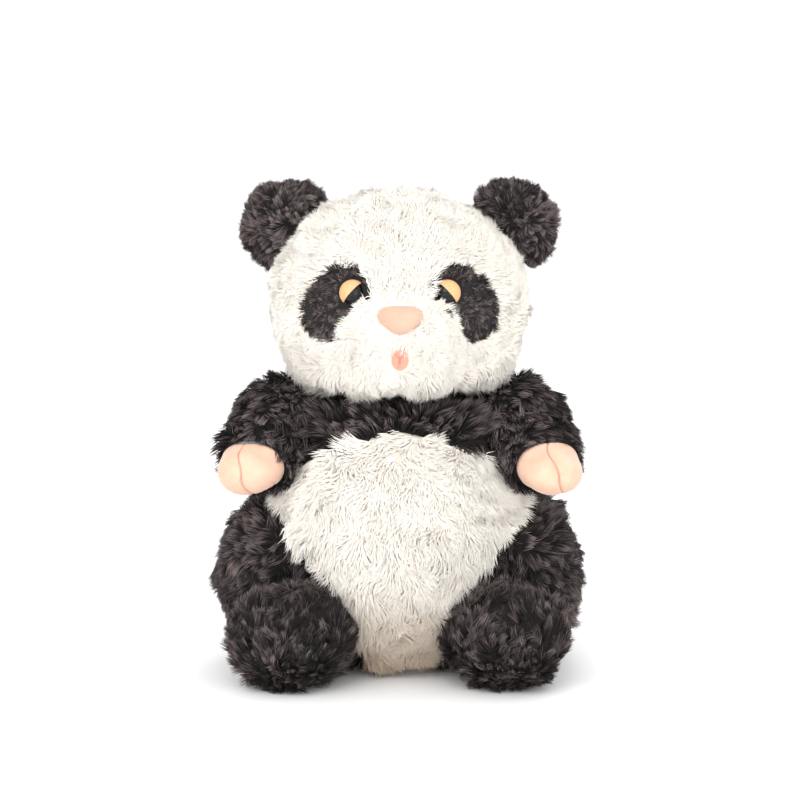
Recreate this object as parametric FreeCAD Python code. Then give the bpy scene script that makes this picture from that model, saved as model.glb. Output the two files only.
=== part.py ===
import FreeCAD, Part
import math
import os

# A seated plush panda, in millimetres. +Z is up, the face looks along -Y, and +X is on the right of
# somebody who looks at the face. The floor is Z = 0. Each fabric panel, filling, eye and trim is a
# solid of its own.

V = FreeCAD.Vector

# Driving dimensions
FABRIC = 4.0            # a plush panel: backing cloth and pressed pile
LAYER_GAP = 0.3         # between a panel and the filling that it covers
JOINT_GAP = 1.0         # between two bodies that move on each other
FILLING_GAP = 2.5       # between the torso's filling and an arm
BODY_Y = 4.0            # the torso's axis, so that the whole toy is centred on Y = 0

TORSO_HEIGHT = 149.0
SEAT_RADIUS = 28.0
SEAT_PANEL_RADIUS = 26.0
BELLY_SPLIT_Y = BODY_Y + 6.0
POUCH_HALF_LENGTH = 46.0
POUCH_RADIUS = 20.0
POUCH_CENTRE_Z = 30.0
POUCH_WALL = 1.0

NECK_RING_RADIUS = 27.0
NECK_RING_TUBE = 2.0
NECK_Z = TORSO_HEIGHT + 0.5 + NECK_RING_TUBE
NECK_NOD_ROOM = 3.0     # free height over the neck ring, for a nod
NECK_CONE_TILT = 3.0    # degrees that the underside of the head rises outwards

HEAD_CENTRE = V(0, BODY_Y - 5.0, 205.0)
HEAD_HALF_WIDTH = 72.0
HEAD_RADIUS = 59.5
MUZZLE_CENTRE = V(0, BODY_Y - 25.0, 187.0)
MUZZLE_HALF_WIDTH = 46.0
MUZZLE_RADIUS = 47.0

EYE_X = 26.0
EYE_Z = 212.5
EYE_RADIUS = 6.0
EYE_STEM_RADIUS = 2.0
EYE_STEM_LENGTH = 12.0
EYE_SINK = 1.5          # the eye's flat back lies this far under the head's outer surface
WASHER_RADIUS = 8.0
WASHER_THICKNESS = 1.5
WASHER_DROP = 0.7       # the round face comes this much nearer to the flat washer at its rim
EYELID_WALL = 0.8
EYELID_GAP = 0.3
PATCH_PROUD = 1.6       # the eye patch stands this far out of the face
PATCH_OFFSET = V(9.0, 0, -6.0)
PATCH_RADII = (16.0, 21.0)
PATCH_TILT = 35.0       # degrees, its lower end leans outwards

NOSE_HALF_WIDTH = 11.0
NOSE_RADIUS = 6.3
NOSE_Z = 198.0
MOUTH_RADIUS = 4.8
MOUTH_DEPTH = 7.0
MOUTH_WALL = 0.8
MOUTH_Z = 177.0

EAR_CENTRE = V(64.0, BODY_Y + 2.0, 245.0)
EAR_RADIUS = 25.0
EAR_HALF_THICKNESS = 12.0
EAR_HEAD_GAP = 4.2
EAR_HINGE = V(53.5, BODY_Y + 2.0, 237.0)
EAR_SEAM_RADIUS = 1.8
EAR_SEAM_LENGTH = 26.0

SHOULDER = V(62.0, BODY_Y - 6.0, 132.0)
SHOULDER_RADIUS = 28.0
PAW = V(82.0, BODY_Y - 50.0, 117.0)
PAW_RADIUS = 18.0
PAW_SHARE = 0.78        # the paw starts at this share of the way from the shoulder to the paw
ARM_LIFT_MIN = -8.0
ARM_LIFT_MAX = 40.0
ARM_LIFT_STEP = 8.0     # degrees between the places that the panels are cut for
FILLING_LIFT_STEP = 12.0

HIP = V(63.0, BODY_Y - 3.0, 49.0)
HAUNCH_RADIUS = 39.0
HAUNCH_HALF_HEIGHT = 50.0
HAUNCH_SEAM = 4.0       # the thigh's two panels meet this far outside the hip
FOOT_CENTRE = V(57.5, BODY_Y - 63.0, 27.0)
FOOT_RADIUS = 33.0
FOOT_HALF_HEIGHT = 28.0
FOOT_SEAM_Y = FOOT_CENTRE.y - 4.0

TAIL_CENTRE = V(0, BODY_Y + 75.0, 40.0)
TAIL_HALF_WIDTH = 15.0
TAIL_RADIUS = 13.0

LABEL_SIZE = (0.6, 34.0, 18.0)
LABEL_CENTRE = V(0, BODY_Y + 63.0, 15.0)

FAR = 400.0             # the half side of a block that stands for half of space
POLE_TURN = 0.06        # radians of the ellipse that the flat disc at each pole takes
SEAM_TURN = 37.0        # degrees that a round solid's seam line is turned away from the cuts
TORSO_SEAM_TURN = 50.0  # the same for the torso: its seam line lies on the right of the tail
X_AXIS = V(1, 0, 0)
Y_AXIS = V(0, 1, 0)
Z_AXIS = V(0, 0, 1)


def spheroid(centre, axis, half_length, radius, grow=0.0):
    """An ellipse revolved about axis, its half length and its radius each made longer by grow.

    Its two poles are small flat discs, as the gathered ends of a sewn ball are.
    """
    along = half_length + grow
    across = radius + grow
    if along > across:
        ellipse = Part.Ellipse(V(0, 0, along), V(across, 0, 0), V(0, 0, 0))
        arc = Part.ArcOfEllipse(ellipse, POLE_TURN, math.pi - POLE_TURN)
    else:
        ellipse = Part.Ellipse(V(across, 0, 0), V(0, 0, along), V(0, 0, 0))
        arc = Part.ArcOfEllipse(ellipse, POLE_TURN - math.pi / 2, math.pi / 2 - POLE_TURN).toBSpline()
    start, end = arc.StartPoint, arc.EndPoint
    corners = [end, V(0, 0, end.z), V(0, 0, start.z), start]
    edges = [arc.toShape()] + [Part.makeLine(p, q) for p, q in zip(corners, corners[1:])]
    solid = Part.Face(Part.Wire(edges)).revolve(V(0, 0, 0), Z_AXIS, 360)
    solid.rotate(V(0, 0, 0), Z_AXIS, SEAM_TURN)
    solid.Placement = FreeCAD.Placement(centre, FreeCAD.Rotation(Z_AXIS, axis)) * solid.Placement
    return solid


def half_space(point, normal):
    """A large block whose one face passes through point and that lies on the side normal points to."""
    block = Part.makeBox(2 * FAR, 2 * FAR, FAR, V(-FAR, -FAR, 0))
    block.Placement = FreeCAD.Placement(point, FreeCAD.Rotation(V(0, 0, 1), normal))
    return block


def main_solids(shape, share=0.03):
    """The shape without the slivers that a cut leaves: solids under a share of the largest."""
    solids = shape.Solids
    largest = max(solid.Volume for solid in solids)
    kept = [solid for solid in solids if solid.Volume >= share * largest]
    return kept[0] if len(kept) == 1 else Part.makeCompound(kept)


def cut_all(shape, tools):
    for tool in tools:
        shape = shape.cut(tool)
    return shape


def mirrored(point, side):
    """The point for one side: side is -1 for the left and 1 for the right."""
    return V(side * point.x, point.y, point.z)


# ---------------------------------------------------------------- torso

def torso_solid(inset=0.0):
    """The pear-shaped body, revolved about its upright axis, and its surface moved in by inset."""
    outline = [(SEAT_RADIUS, 0), (52, 8), (70, 36), (77.5, 76), (71, 110), (54, 137), (28, 149)]
    squeeze = (TORSO_HEIGHT - 2 * inset) / TORSO_HEIGHT
    points = [V(r - inset, 0, inset + z * squeeze) for r, z in outline]
    curve = Part.BSplineCurve()
    curve.interpolate(points)
    bottom = V(0, 0, points[0].z)
    top = V(0, 0, points[-1].z)
    edges = [
        Part.makeLine(bottom, points[0]),
        curve.toShape(),
        Part.makeLine(points[-1], top),
        Part.makeLine(top, bottom),
    ]
    solid = Part.Face(Part.Wire(edges)).revolve(V(0, 0, 0), V(0, 0, 1), 360)
    solid.rotate(V(0, 0, 0), Z_AXIS, TORSO_SEAM_TURN)
    solid.translate(V(0, BODY_Y, 0))
    return solid


def belly_prism():
    """The front of the body inside the belly panel's outline: an arch on top that narrows to the floor."""
    half = [(0, 140), (44, 131), (68, 113), (71, 98), (55, 78), (36, 56), (27, 28), (26, -2)]
    right = [V(x, 0, z) for x, z in half]
    left = [V(-x, 0, z) for x, z in reversed(half[1:])]
    arch = Part.BSplineCurve()
    arch.interpolate(left + right)
    outline = Part.Wire([arch.toShape(), Part.makeLine(right[-1], left[0])])
    outline.translate(V(0, BELLY_SPLIT_Y, 0))
    return Part.Face(outline).extrude(V(0, -FAR, 0))


def haunch_solid(side, grow=0.0):
    """The thigh, revolved about the upright axis through the hip, flat where it rests on the floor."""
    centre = mirrored(HIP, side)
    whole = spheroid(centre, Z_AXIS, HAUNCH_HALF_HEIGHT, HAUNCH_RADIUS, grow)
    return whole.common(half_space(V(0, 0, max(0.0, -grow)), V(0, 0, 1)))


def foot_solid(side, grow=0.0):
    """The puffed foot, flat where it rests on the floor."""
    whole = spheroid(mirrored(FOOT_CENTRE, side), Z_AXIS, FOOT_HALF_HEIGHT, FOOT_RADIUS, grow)
    return whole.common(half_space(V(0, 0, max(0.0, -grow)), V(0, 0, 1)))


def arm_solid(side, grow=0.0, from_ball=True):
    """The arm: a large ball at the shoulder, a small one at the paw and the cone that joins them.

    Without its shoulder ball it is only the cone and the small ball.
    """
    start = mirrored(SHOULDER, side)
    along = mirrored(PAW, side) - start
    length = along.Length
    slope = math.asin((SHOULDER_RADIUS - PAW_RADIUS) / length)
    big = SHOULDER_RADIUS + grow
    small = PAW_RADIUS + grow

    def on_ball(radius, height, angle):
        return V(radius * math.cos(angle), 0, height + radius * math.sin(angle))

    lower = on_ball(big, 0, slope)
    upper = on_ball(small, length, slope)
    top = V(0, 0, length + small)
    tip = Part.Arc(upper, on_ball(small, length, (slope + math.pi / 2) / 2), top).toShape()
    if from_ball:
        bottom = V(0, 0, -big)
        base = Part.Arc(bottom, on_ball(big, 0, -math.pi / 8), lower).toShape()
    else:
        bottom = V(0, 0, lower.z)
        base = Part.makeLine(bottom, lower)
    edges = [base, Part.makeLine(lower, upper), tip, Part.makeLine(top, bottom)]
    arm = Part.Face(Part.Wire(edges)).revolve(V(0, 0, 0), V(0, 0, 1), 360)
    arm.Placement = FreeCAD.Placement(start, FreeCAD.Rotation(V(0, 0, 1), along))
    return arm


def arm_sweep(side, step, gap):
    """The room that the arm needs while it is lifted and lowered about the shoulder's X axis."""
    shoulder = mirrored(SHOULDER, side)
    rooms = [Part.makeSphere(SHOULDER_RADIUS + gap, shoulder)]
    angle = ARM_LIFT_MIN
    while angle <= ARM_LIFT_MAX:
        arm = arm_solid(side, gap, from_ball=False)
        arm.rotate(shoulder, V(1, 0, 0), -angle)
        rooms.append(arm)
        angle += step
    return rooms


def limb_room(side):
    """What the torso's panels leave free for one leg and one arm."""
    legs = [haunch_solid(side, JOINT_GAP), foot_solid(side, JOINT_GAP)]
    return legs + arm_sweep(side, ARM_LIFT_STEP, JOINT_GAP)


def filling_room(side):
    """What the torso's filling leaves free: wider room for the arm, in fewer steps."""
    legs = [haunch_solid(side, JOINT_GAP), foot_solid(side, JOINT_GAP)]
    return legs + arm_sweep(side, FILLING_LIFT_STEP, FILLING_GAP)


def pouch_solid(grow=0.0):
    """The long bag of pellets that weighs the bottom down between the thighs."""
    centre = V(0, BODY_Y, POUCH_CENTRE_Z)
    return spheroid(centre, Y_AXIS, POUCH_HALF_LENGTH, POUCH_RADIUS, grow)


def torso_parts():
    room = limb_room(-1) + limb_room(1)
    axis = V(0, BODY_Y, 0)
    skin = torso_solid().cut(torso_solid(FABRIC))
    seat_room = Part.makeCylinder(SEAT_PANEL_RADIUS, FABRIC + LAYER_GAP, axis)
    seat = Part.makeCylinder(SEAT_PANEL_RADIUS - LAYER_GAP, FABRIC, axis)
    skin = cut_all(skin.cut(seat_room), room)
    prism = belly_prism()
    sides = skin.cut(prism)
    filling = torso_solid(FABRIC + LAYER_GAP).cut(pouch_solid(LAYER_GAP))
    return {
        "belly_panel": main_solids(skin.common(prism)),
        "back_panel_left": main_solids(sides.common(half_space(V(0, 0, 0), V(-1, 0, 0)))),
        "back_panel_right": main_solids(sides.common(half_space(V(0, 0, 0), V(1, 0, 0)))),
        "seat_panel": main_solids(cut_all(seat, room)),
        "torso_stuffing": main_solids(cut_all(filling, filling_room(-1) + filling_room(1))),
        "pellet_pouch": pouch_solid().cut(pouch_solid(-POUCH_WALL)),
        "pellet_fill": pouch_solid(-POUCH_WALL - LAYER_GAP),
        "tail": spheroid(TAIL_CENTRE, X_AXIS, TAIL_HALF_WIDTH, TAIL_RADIUS).cut(torso_solid(-LAYER_GAP)),
        "sewn_label": label().cut(torso_solid(-LAYER_GAP)),
    }


def label():
    """A blank folded label that stands out of the back seam, its loop pressed flat."""
    thick, long, tall = LABEL_SIZE
    return Part.makeBox(thick, long, tall, LABEL_CENTRE - V(thick, long, tall) / 2)


# ---------------------------------------------------------------- neck and head

def neck_parts():
    centre = V(0, BODY_Y, NECK_Z)
    ring = Part.makeTorus(NECK_RING_RADIUS, NECK_RING_TUBE, centre)
    plug_radius = NECK_RING_RADIUS - NECK_RING_TUBE - LAYER_GAP
    plug_bottom = centre - V(0, 0, NECK_RING_TUBE)
    plug = Part.makeCylinder(plug_radius, 2 * NECK_RING_TUBE, plug_bottom)
    return {"neck_seam_ring": ring, "neck_stuffing": plug}


def neck_room():
    """What the head leaves free over the neck: a shallow cup whose rim rises outwards."""
    apex = NECK_Z + NECK_RING_TUBE + NECK_NOD_ROOM
    reach = 70.0
    rise = reach * math.tan(math.radians(NECK_CONE_TILT))
    outline = [V(0, 0, 0), V(reach, 0, 0), V(reach, 0, apex + rise), V(0, 0, apex), V(0, 0, 0)]
    cup = Part.Face(Part.makePolygon(outline)).revolve(V(0, 0, 0), V(0, 0, 1), 360)
    cup.translate(V(0, BODY_Y, 0))
    return cup


def head_solid(grow=0.0):
    return spheroid(HEAD_CENTRE, X_AXIS, HEAD_HALF_WIDTH, HEAD_RADIUS, grow)


def muzzle_solid(grow=0.0):
    return spheroid(MUZZLE_CENTRE, X_AXIS, MUZZLE_HALF_WIDTH, MUZZLE_RADIUS, grow)


def head_front_y(x, z):
    """Y of the front of the head's outer surface at a place in the XZ plane."""
    across = (x - HEAD_CENTRE.x) / HEAD_HALF_WIDTH
    up = (z - HEAD_CENTRE.z) / HEAD_RADIUS
    return HEAD_CENTRE.y - HEAD_RADIUS * math.sqrt(1 - across * across - up * up)


def muzzle_front_y(z):
    """Y of the front of the muzzle's outer surface on the middle plane."""
    up = (z - MUZZLE_CENTRE.z) / MUZZLE_RADIUS
    return MUZZLE_CENTRE.y - MUZZLE_RADIUS * math.sqrt(1 - up * up)


def eye_seat(side):
    """Where the eye's flat back lies and the way that the eye looks."""
    x = side * EYE_X
    point = V(x, head_front_y(x, EYE_Z), EYE_Z)
    offset = point - HEAD_CENTRE
    normal = V(offset.x / HEAD_HALF_WIDTH ** 2, offset.y / HEAD_RADIUS ** 2, offset.z / HEAD_RADIUS ** 2)
    normal.normalize()
    return point - normal * EYE_SINK, normal


def along_eye(shape, side):
    """Turns a shape made about +Z at the origin to stand on the eye's seat."""
    point, normal = eye_seat(side)
    shape.Placement = FreeCAD.Placement(point, FreeCAD.Rotation(V(0, 0, 1), normal))
    return shape


def eye(side):
    """A safety eye: a domed front on a stem that goes through the face."""
    dome = Part.makeSphere(EYE_RADIUS, V(0, 0, 0), V(0, 0, 1), 0, 90)
    stem = Part.makeCylinder(EYE_STEM_RADIUS, EYE_STEM_LENGTH, V(0, 0, -EYE_STEM_LENGTH))
    return along_eye(dome.fuse(stem).removeSplitter(), side)


def eye_washer(side):
    """The locking washer on the eye's stem, behind the face panel."""
    depth = FABRIC + LAYER_GAP + WASHER_DROP - EYE_SINK + WASHER_THICKNESS
    disc = Part.makeCylinder(WASHER_RADIUS, WASHER_THICKNESS, V(0, 0, -depth))
    hole = Part.makeCylinder(EYE_STEM_RADIUS + LAYER_GAP / 2, FAR, V(0, 0, -FAR / 2))
    return along_eye(disc.cut(hole), side)


def eyelid(side):
    """Half of a thin dome over the upper outer part of the eye, with a straight slanting edge."""
    inner = EYE_RADIUS + EYELID_GAP
    ball = Part.makeSphere(inner + EYELID_WALL).cut(Part.makeSphere(inner))
    lid = along_eye(ball, side)
    point, normal = eye_seat(side)
    slant = V(side * 0.62, 0, 0.78)
    lid = lid.common(half_space(point + slant * 0.6, slant))
    return lid.common(half_space(point + normal * LAYER_GAP, normal))


def eye_room(side, grow=LAYER_GAP):
    """The hole that the eye, its lid, its stem and its washer need in the face and the filling."""
    socket_radius = EYE_RADIUS + EYELID_GAP + EYELID_WALL + grow
    socket = Part.makeCylinder(socket_radius, 3 * EYE_RADIUS, V(0, 0, -grow))
    stem = Part.makeCylinder(EYE_STEM_RADIUS + grow, FAR / 4, V(0, 0, -EYE_STEM_LENGTH - grow))
    return [along_eye(socket, side), along_eye(stem, side)]


def washer_room(side):
    depth = FABRIC + 2 * LAYER_GAP + WASHER_DROP - EYE_SINK + WASHER_THICKNESS
    disc = Part.makeCylinder(WASHER_RADIUS + LAYER_GAP, depth, V(0, 0, -depth))
    return along_eye(disc, side)


def eye_patch(side):
    """The short-pile patch round the eye: an oval that leans outwards, cut off by the muzzle."""
    wide, tall = PATCH_RADII
    flat = FreeCAD.Matrix()
    flat.scale(wide, FAR, tall)
    column = Part.makeCylinder(1.0, 1.0, V(0, 0, 0), V(0, -1, 0)).transformGeometry(flat)
    column.rotate(V(0, 0, 0), V(0, 1, 0), side * -PATCH_TILT)
    column.translate(V(side * (EYE_X + PATCH_OFFSET.x), HEAD_CENTRE.y, EYE_Z + PATCH_OFFSET.z))
    skin = head_solid(PATCH_PROUD).cut(head_solid(LAYER_GAP / 3))
    patch = cut_all(skin.common(column), [muzzle_solid(LAYER_GAP)] + eye_room(side))
    return main_solids(patch)


def nose():
    centre = V(0, muzzle_front_y(NOSE_Z) + 1.5, NOSE_Z)
    pad = spheroid(centre, X_AXIS, NOSE_HALF_WIDTH, NOSE_RADIUS)
    return cut_all(pad, [muzzle_solid(LAYER_GAP / 3), head_solid(LAYER_GAP / 3)])


def mouth_solid(grow=0.0):
    centre = V(0, muzzle_front_y(MOUTH_Z), MOUTH_Z)
    return spheroid(centre, Y_AXIS, MOUTH_DEPTH, MOUTH_RADIUS, grow)


def mouth_pocket():
    """A small cup of cloth that is sewn into the muzzle, open to the front."""
    return mouth_solid().cut(mouth_solid(-MOUTH_WALL)).common(muzzle_solid())


def ear_seam(side, grow=0.0):
    """The rolled seam that the ear bends on, along the corner of the head."""
    middle = mirrored(EAR_HINGE, side)
    along = mirrored(V(1, 0, -1), side)
    along.normalize()
    start = middle - along * (EAR_SEAM_LENGTH / 2 + grow)
    return Part.makeCylinder(EAR_SEAM_RADIUS + grow, EAR_SEAM_LENGTH + 2 * grow, start, along)


def ear_parts(side, name):
    """The two faces of a thick round ear, which meet in a seam round its rim."""
    centre = mirrored(EAR_CENTRE, side)
    disc = spheroid(centre, Y_AXIS, EAR_HALF_THICKNESS, EAR_RADIUS)
    disc = disc.cut(head_solid(EAR_HEAD_GAP))
    disc = disc.cut(ear_seam(side, LAYER_GAP))
    front = disc.common(half_space(centre, V(0, -1, 0)))
    back = disc.common(half_space(centre, V(0, 1, 0)))
    return {"ear_front_" + name: main_solids(front), "ear_back_" + name: main_solids(back)}


def head_parts():
    inside = head_solid(-FABRIC)
    mouth = mouth_solid(LAYER_GAP)
    eyes = eye_room(-1) + eye_room(1)
    seams = [ear_seam(-1, LAYER_GAP), ear_seam(1, LAYER_GAP)]
    skin = cut_all(head_solid().cut(inside), [muzzle_solid(), neck_room()] + eyes + seams)
    seam_y = HEAD_CENTRE.y + 6.0
    back = skin.common(half_space(V(0, seam_y, 0), V(0, 1, 0)))
    muzzle_skin = muzzle_solid().cut(inside).cut(muzzle_solid(-FABRIC))
    filling = head_solid(-FABRIC - LAYER_GAP).fuse(muzzle_solid(-FABRIC - LAYER_GAP))
    filling = cut_all(filling, [neck_room(), mouth, washer_room(-1), washer_room(1)] + eyes + seams)
    parts = {
        "face_panel": main_solids(skin.common(half_space(V(0, seam_y, 0), V(0, -1, 0)))),
        "head_back_left": main_solids(back.common(half_space(V(0, 0, 0), V(-1, 0, 0)))),
        "head_back_right": main_solids(back.common(half_space(V(0, 0, 0), V(1, 0, 0)))),
        "muzzle_panel": main_solids(cut_all(muzzle_skin, [neck_room(), mouth] + eyes)),
        "head_stuffing": main_solids(filling),
        "nose": main_solids(nose()),
        "mouth_pocket": main_solids(mouth_pocket()),
    }
    for side, name in ((-1, "left"), (1, "right")):
        parts["eye_" + name] = eye(side)
        parts["eye_washer_" + name] = eye_washer(side)
        parts["eyelid_" + name] = eyelid(side)
        parts["eye_patch_" + name] = eye_patch(side)
        parts["ear_seam_" + name] = ear_seam(side)
        parts.update(ear_parts(side, name))
    return parts


# ---------------------------------------------------------------- limbs

def arm_parts(side, name):
    """A plush sleeve that closes over the shoulder, a two-piece paw of suede and one filling."""
    start = mirrored(SHOULDER, side)
    along = mirrored(PAW, side) - start
    seam = start + along * PAW_SHARE
    across = V(side, 0, 0)
    skin = arm_solid(side).cut(arm_solid(side, -FABRIC))
    paw = skin.common(half_space(seam, along))
    return {
        "arm_sleeve_" + name: main_solids(skin.common(half_space(seam, along * -1))),
        "paw_outer_" + name: main_solids(paw.common(half_space(mirrored(PAW, side), across))),
        "paw_inner_" + name: main_solids(paw.common(half_space(mirrored(PAW, side), across * -1))),
        "arm_stuffing_" + name: arm_solid(side, -FABRIC - LAYER_GAP),
    }


def leg_parts(side, name):
    """A thigh of two panels and a puffed foot of two panels, each with its filling."""
    thigh_seam = V(side * (HIP.x + HAUNCH_SEAM), 0, 0)
    outwards = V(side, 0, 0)
    thigh = haunch_solid(side).cut(haunch_solid(side, -FABRIC))
    thigh_room = haunch_solid(side, LAYER_GAP)
    foot = foot_solid(side).cut(foot_solid(side, -FABRIC)).cut(thigh_room)
    seam = V(0, FOOT_SEAM_Y, 0)
    return {
        "haunch_outer_" + name: thigh.common(half_space(thigh_seam, outwards)),
        "haunch_inner_" + name: thigh.common(half_space(thigh_seam, outwards * -1)),
        "haunch_stuffing_" + name: haunch_solid(side, -FABRIC - LAYER_GAP),
        "foot_front_" + name: main_solids(foot.common(half_space(seam, V(0, -1, 0)))),
        "foot_back_" + name: main_solids(foot.common(half_space(seam, V(0, 1, 0)))),
        "foot_stuffing_" + name: main_solids(foot_solid(side, -FABRIC - LAYER_GAP).cut(thigh_room)),
    }


def all_parts():
    parts = torso_parts()
    parts.update(neck_parts())
    parts.update(head_parts())
    for side, name in ((-1, "left"), (1, "right")):
        parts.update(arm_parts(side, name))
        parts.update(leg_parts(side, name))
    return parts


os.makedirs("parts", exist_ok=True)
for node, shape in all_parts().items():
    shape.exportStep("parts/" + node + ".step")
    box = shape.optimalBoundingBox(False, False)
    corners = (box.XMin, box.YMin, box.ZMin, box.XMax, box.YMax, box.ZMax)
    extents = " ".join(f"{value:7.1f}" for value in corners)
    print(f"{node:24s} {len(shape.Solids)} {shape.isValid()} {shape.Volume / 1000:8.2f} cm3 {extents}")
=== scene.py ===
"""A seated plush panda: fur-covered panels over stuffing, suede paws, moulded eyes with lids.

Lengths are in millimetres until a mesh is made. Places come from the boxes of the CAD nodes.
"""

import copy
import math

import bpy
import numpy as np
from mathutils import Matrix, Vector, kdtree


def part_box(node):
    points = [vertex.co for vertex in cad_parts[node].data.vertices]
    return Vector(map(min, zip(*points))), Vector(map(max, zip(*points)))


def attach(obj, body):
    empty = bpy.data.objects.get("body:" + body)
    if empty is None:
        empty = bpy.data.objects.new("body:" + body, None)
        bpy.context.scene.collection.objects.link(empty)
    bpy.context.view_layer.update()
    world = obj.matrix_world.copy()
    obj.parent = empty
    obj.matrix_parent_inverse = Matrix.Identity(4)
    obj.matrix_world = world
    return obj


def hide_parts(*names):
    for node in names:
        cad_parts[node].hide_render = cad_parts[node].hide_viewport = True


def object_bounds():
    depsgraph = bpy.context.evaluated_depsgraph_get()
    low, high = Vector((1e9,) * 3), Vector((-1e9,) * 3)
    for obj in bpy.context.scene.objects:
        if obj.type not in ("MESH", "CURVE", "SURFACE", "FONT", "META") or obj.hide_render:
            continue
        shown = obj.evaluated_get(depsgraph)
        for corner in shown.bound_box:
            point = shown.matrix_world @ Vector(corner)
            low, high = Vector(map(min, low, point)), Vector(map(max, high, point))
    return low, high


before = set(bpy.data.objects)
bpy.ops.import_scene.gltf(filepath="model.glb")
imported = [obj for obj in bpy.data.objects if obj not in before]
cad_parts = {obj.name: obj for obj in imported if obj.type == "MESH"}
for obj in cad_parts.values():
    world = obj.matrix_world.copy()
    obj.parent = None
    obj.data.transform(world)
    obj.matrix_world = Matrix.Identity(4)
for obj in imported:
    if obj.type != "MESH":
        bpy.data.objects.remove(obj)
CAD_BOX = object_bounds()

MM = 0.001
SIDES = ((-1, "left"), (1, "right"))
UP = np.array([0.0, 0.0, 1.0])
AHEAD = np.array([0.0, -1.0, 0.0])
X, Y, Z = 0, 1, 2
FLOOR_GAP = 0.4          # nothing soft comes nearer to the floor than this
REACH_HALVINGS = 10      # how finely a surface is found along a line
SURFACE_SLACK = 0.8      # a strand's root may be this far off the surface
ROOT_DEPTH = 0.8         # a strand starts this far under the surface
RINGS = 2                # rings of corners along a strand, before its tip
MOST_LEAN = 1.65         # the flattest that a strand lies, in radians from the upright
BACKING_THICKNESS = 1.2
MEAN_TONE = 0.33         # how bright the strands are, from 0 to 1, and how much that differs
LOCK_TONE = 0.28
STRAND_TONE = 0.22
PLACE_TONE = 0.16
BAKE_LAYER = "OFBake"    # the UV layer in which each strand has a cell of its own


def node_box(*nodes):
    """The lowest and the highest corner round some CAD nodes."""
    corners = [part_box(node) for node in nodes]
    low = np.min([tuple(pair[0]) for pair in corners], axis=0) / MM
    high = np.max([tuple(pair[1]) for pair in corners], axis=0) / MM
    return low, high


def unit(vectors):
    """Each vector made one long."""
    lengths = np.linalg.norm(vectors, axis=-1, keepdims=True)
    return vectors / np.maximum(lengths, 1e-9)


def wavy(points, size, seed):
    """A smooth value from about -1 to 1 at each point, which changes over about size."""
    random = np.random.default_rng(seed)
    waves = unit(random.normal(size=(8, 3))) * random.uniform(0.6, 1.5, (8, 1))
    phases = random.uniform(0, 2 * math.pi, 8)
    return np.sin(points @ waves.T * (2 * math.pi / size) + phases).sum(axis=1) / 3.0


# ---- solid shapes as distances

def ellipsoid(centre, radii):
    centre = np.array(centre, float)
    radii = np.array(radii, float)

    def gap(points):
        scaled = (points - centre) / radii
        near = np.linalg.norm(scaled, axis=1)
        steep = np.linalg.norm(scaled / radii, axis=1)
        return near * (near - 1) / np.maximum(steep, 1e-9)
    return gap


def round_cone(start, end, big, small):
    """A ball at start, a smaller one at end, and the cone between them."""
    length = np.linalg.norm(end - start)
    axis = (end - start) / length
    slope = math.tan(math.asin((big - small) / length))

    def gap(points):
        offset = points - start
        along = offset @ axis
        across = np.linalg.norm(offset - along[:, None] * axis, axis=1)
        share = np.clip((along - across * slope) / length, 0, 1)
        middle = start + share[:, None] * (end - start)
        return np.linalg.norm(points - middle, axis=1) - (big + (small - big) * share)
    return gap


def turned(centre, outline):
    """The body of an outline of (radius, height) points turned about the upright axis."""
    curve = np.array(outline, float)
    for _ in range(4):
        quarter = curve[:-1] * 0.75 + curve[1:] * 0.25
        three = curve[:-1] * 0.25 + curve[1:] * 0.75
        inner = np.stack([quarter, three], axis=1).reshape(-1, 2)
        curve = np.vstack([curve[:1], inner, curve[-1:]])
    angles = np.arctan2(curve[:, 1] - centre[2], curve[:, 0])
    reach = np.hypot(curve[:, 0], curve[:, 1] - centre[2])

    def gap(points):
        across = np.hypot(points[:, 0] - centre[0], points[:, 1] - centre[1])
        up = points[:, 2] - centre[2]
        return np.hypot(across, up) - np.interp(np.arctan2(up, across), angles, reach)
    return gap


def joined(one, other, blend):
    """Both shapes, with a fillet of about blend where they meet."""
    def gap(points):
        a, b = one(points), other(points)
        share = np.clip(0.5 + 0.5 * (b - a) / blend, 0, 1)
        return b * (1 - share) + a * share - blend * share * (1 - share)
    return gap


def without(one, other, blend):
    """The first shape less the second."""
    inner = joined(lambda points: -one(points), other, blend)
    return lambda points: -inner(points)


def grown(shape, amount):
    return lambda points: shape(points) - amount


def above(height):
    """Everything that is higher than height."""
    return lambda points: height - points[:, 2]


def common(one, other, blend):
    """What the two shapes share."""
    return without(one, lambda points: -other(points), blend)


def dented(shape, *dents):
    """The shape with grooves: each dent gives how deep it is at each point."""
    def gap(points):
        distance = shape(points)
        for dent in dents:
            distance = distance + dent(points)
        return distance
    return gap


def seam_at(line, width, depth):
    """A groove along the place where line is nought."""
    return lambda points: depth * np.exp(-(line(points) / width) ** 2)


def waved(shape, depth, size, seed):
    """The shape with the slow rise and fall that stuffing gives it."""
    return dented(shape, lambda points: depth * wavy(points, size, seed))


# ---- regions: each says for some points which of them lie in it

def over(axis, limit):
    return lambda points: points[:, axis] > limit


def under(axis, limit):
    return lambda points: points[:, axis] < limit


def further_out(side, limit):
    """More than limit to one side of the middle."""
    return lambda points: side * points[:, X] > limit


def clear_of(shape, room=0.0):
    return lambda points: shape(points) > room


def outside(region):
    return lambda points: ~region(points)


def all_of(*regions):
    """What some regions share."""
    return lambda points: np.logical_and.reduce([region(points) for region in regions])


def on_side(side):
    """On the left or the right half, with the middle in both."""
    return lambda points: side * points[:, X] >= 0


RIGHT = over(X, 0.0)
OFF_FLOOR = over(Z, 2.0)


# ---- meshes

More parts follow.
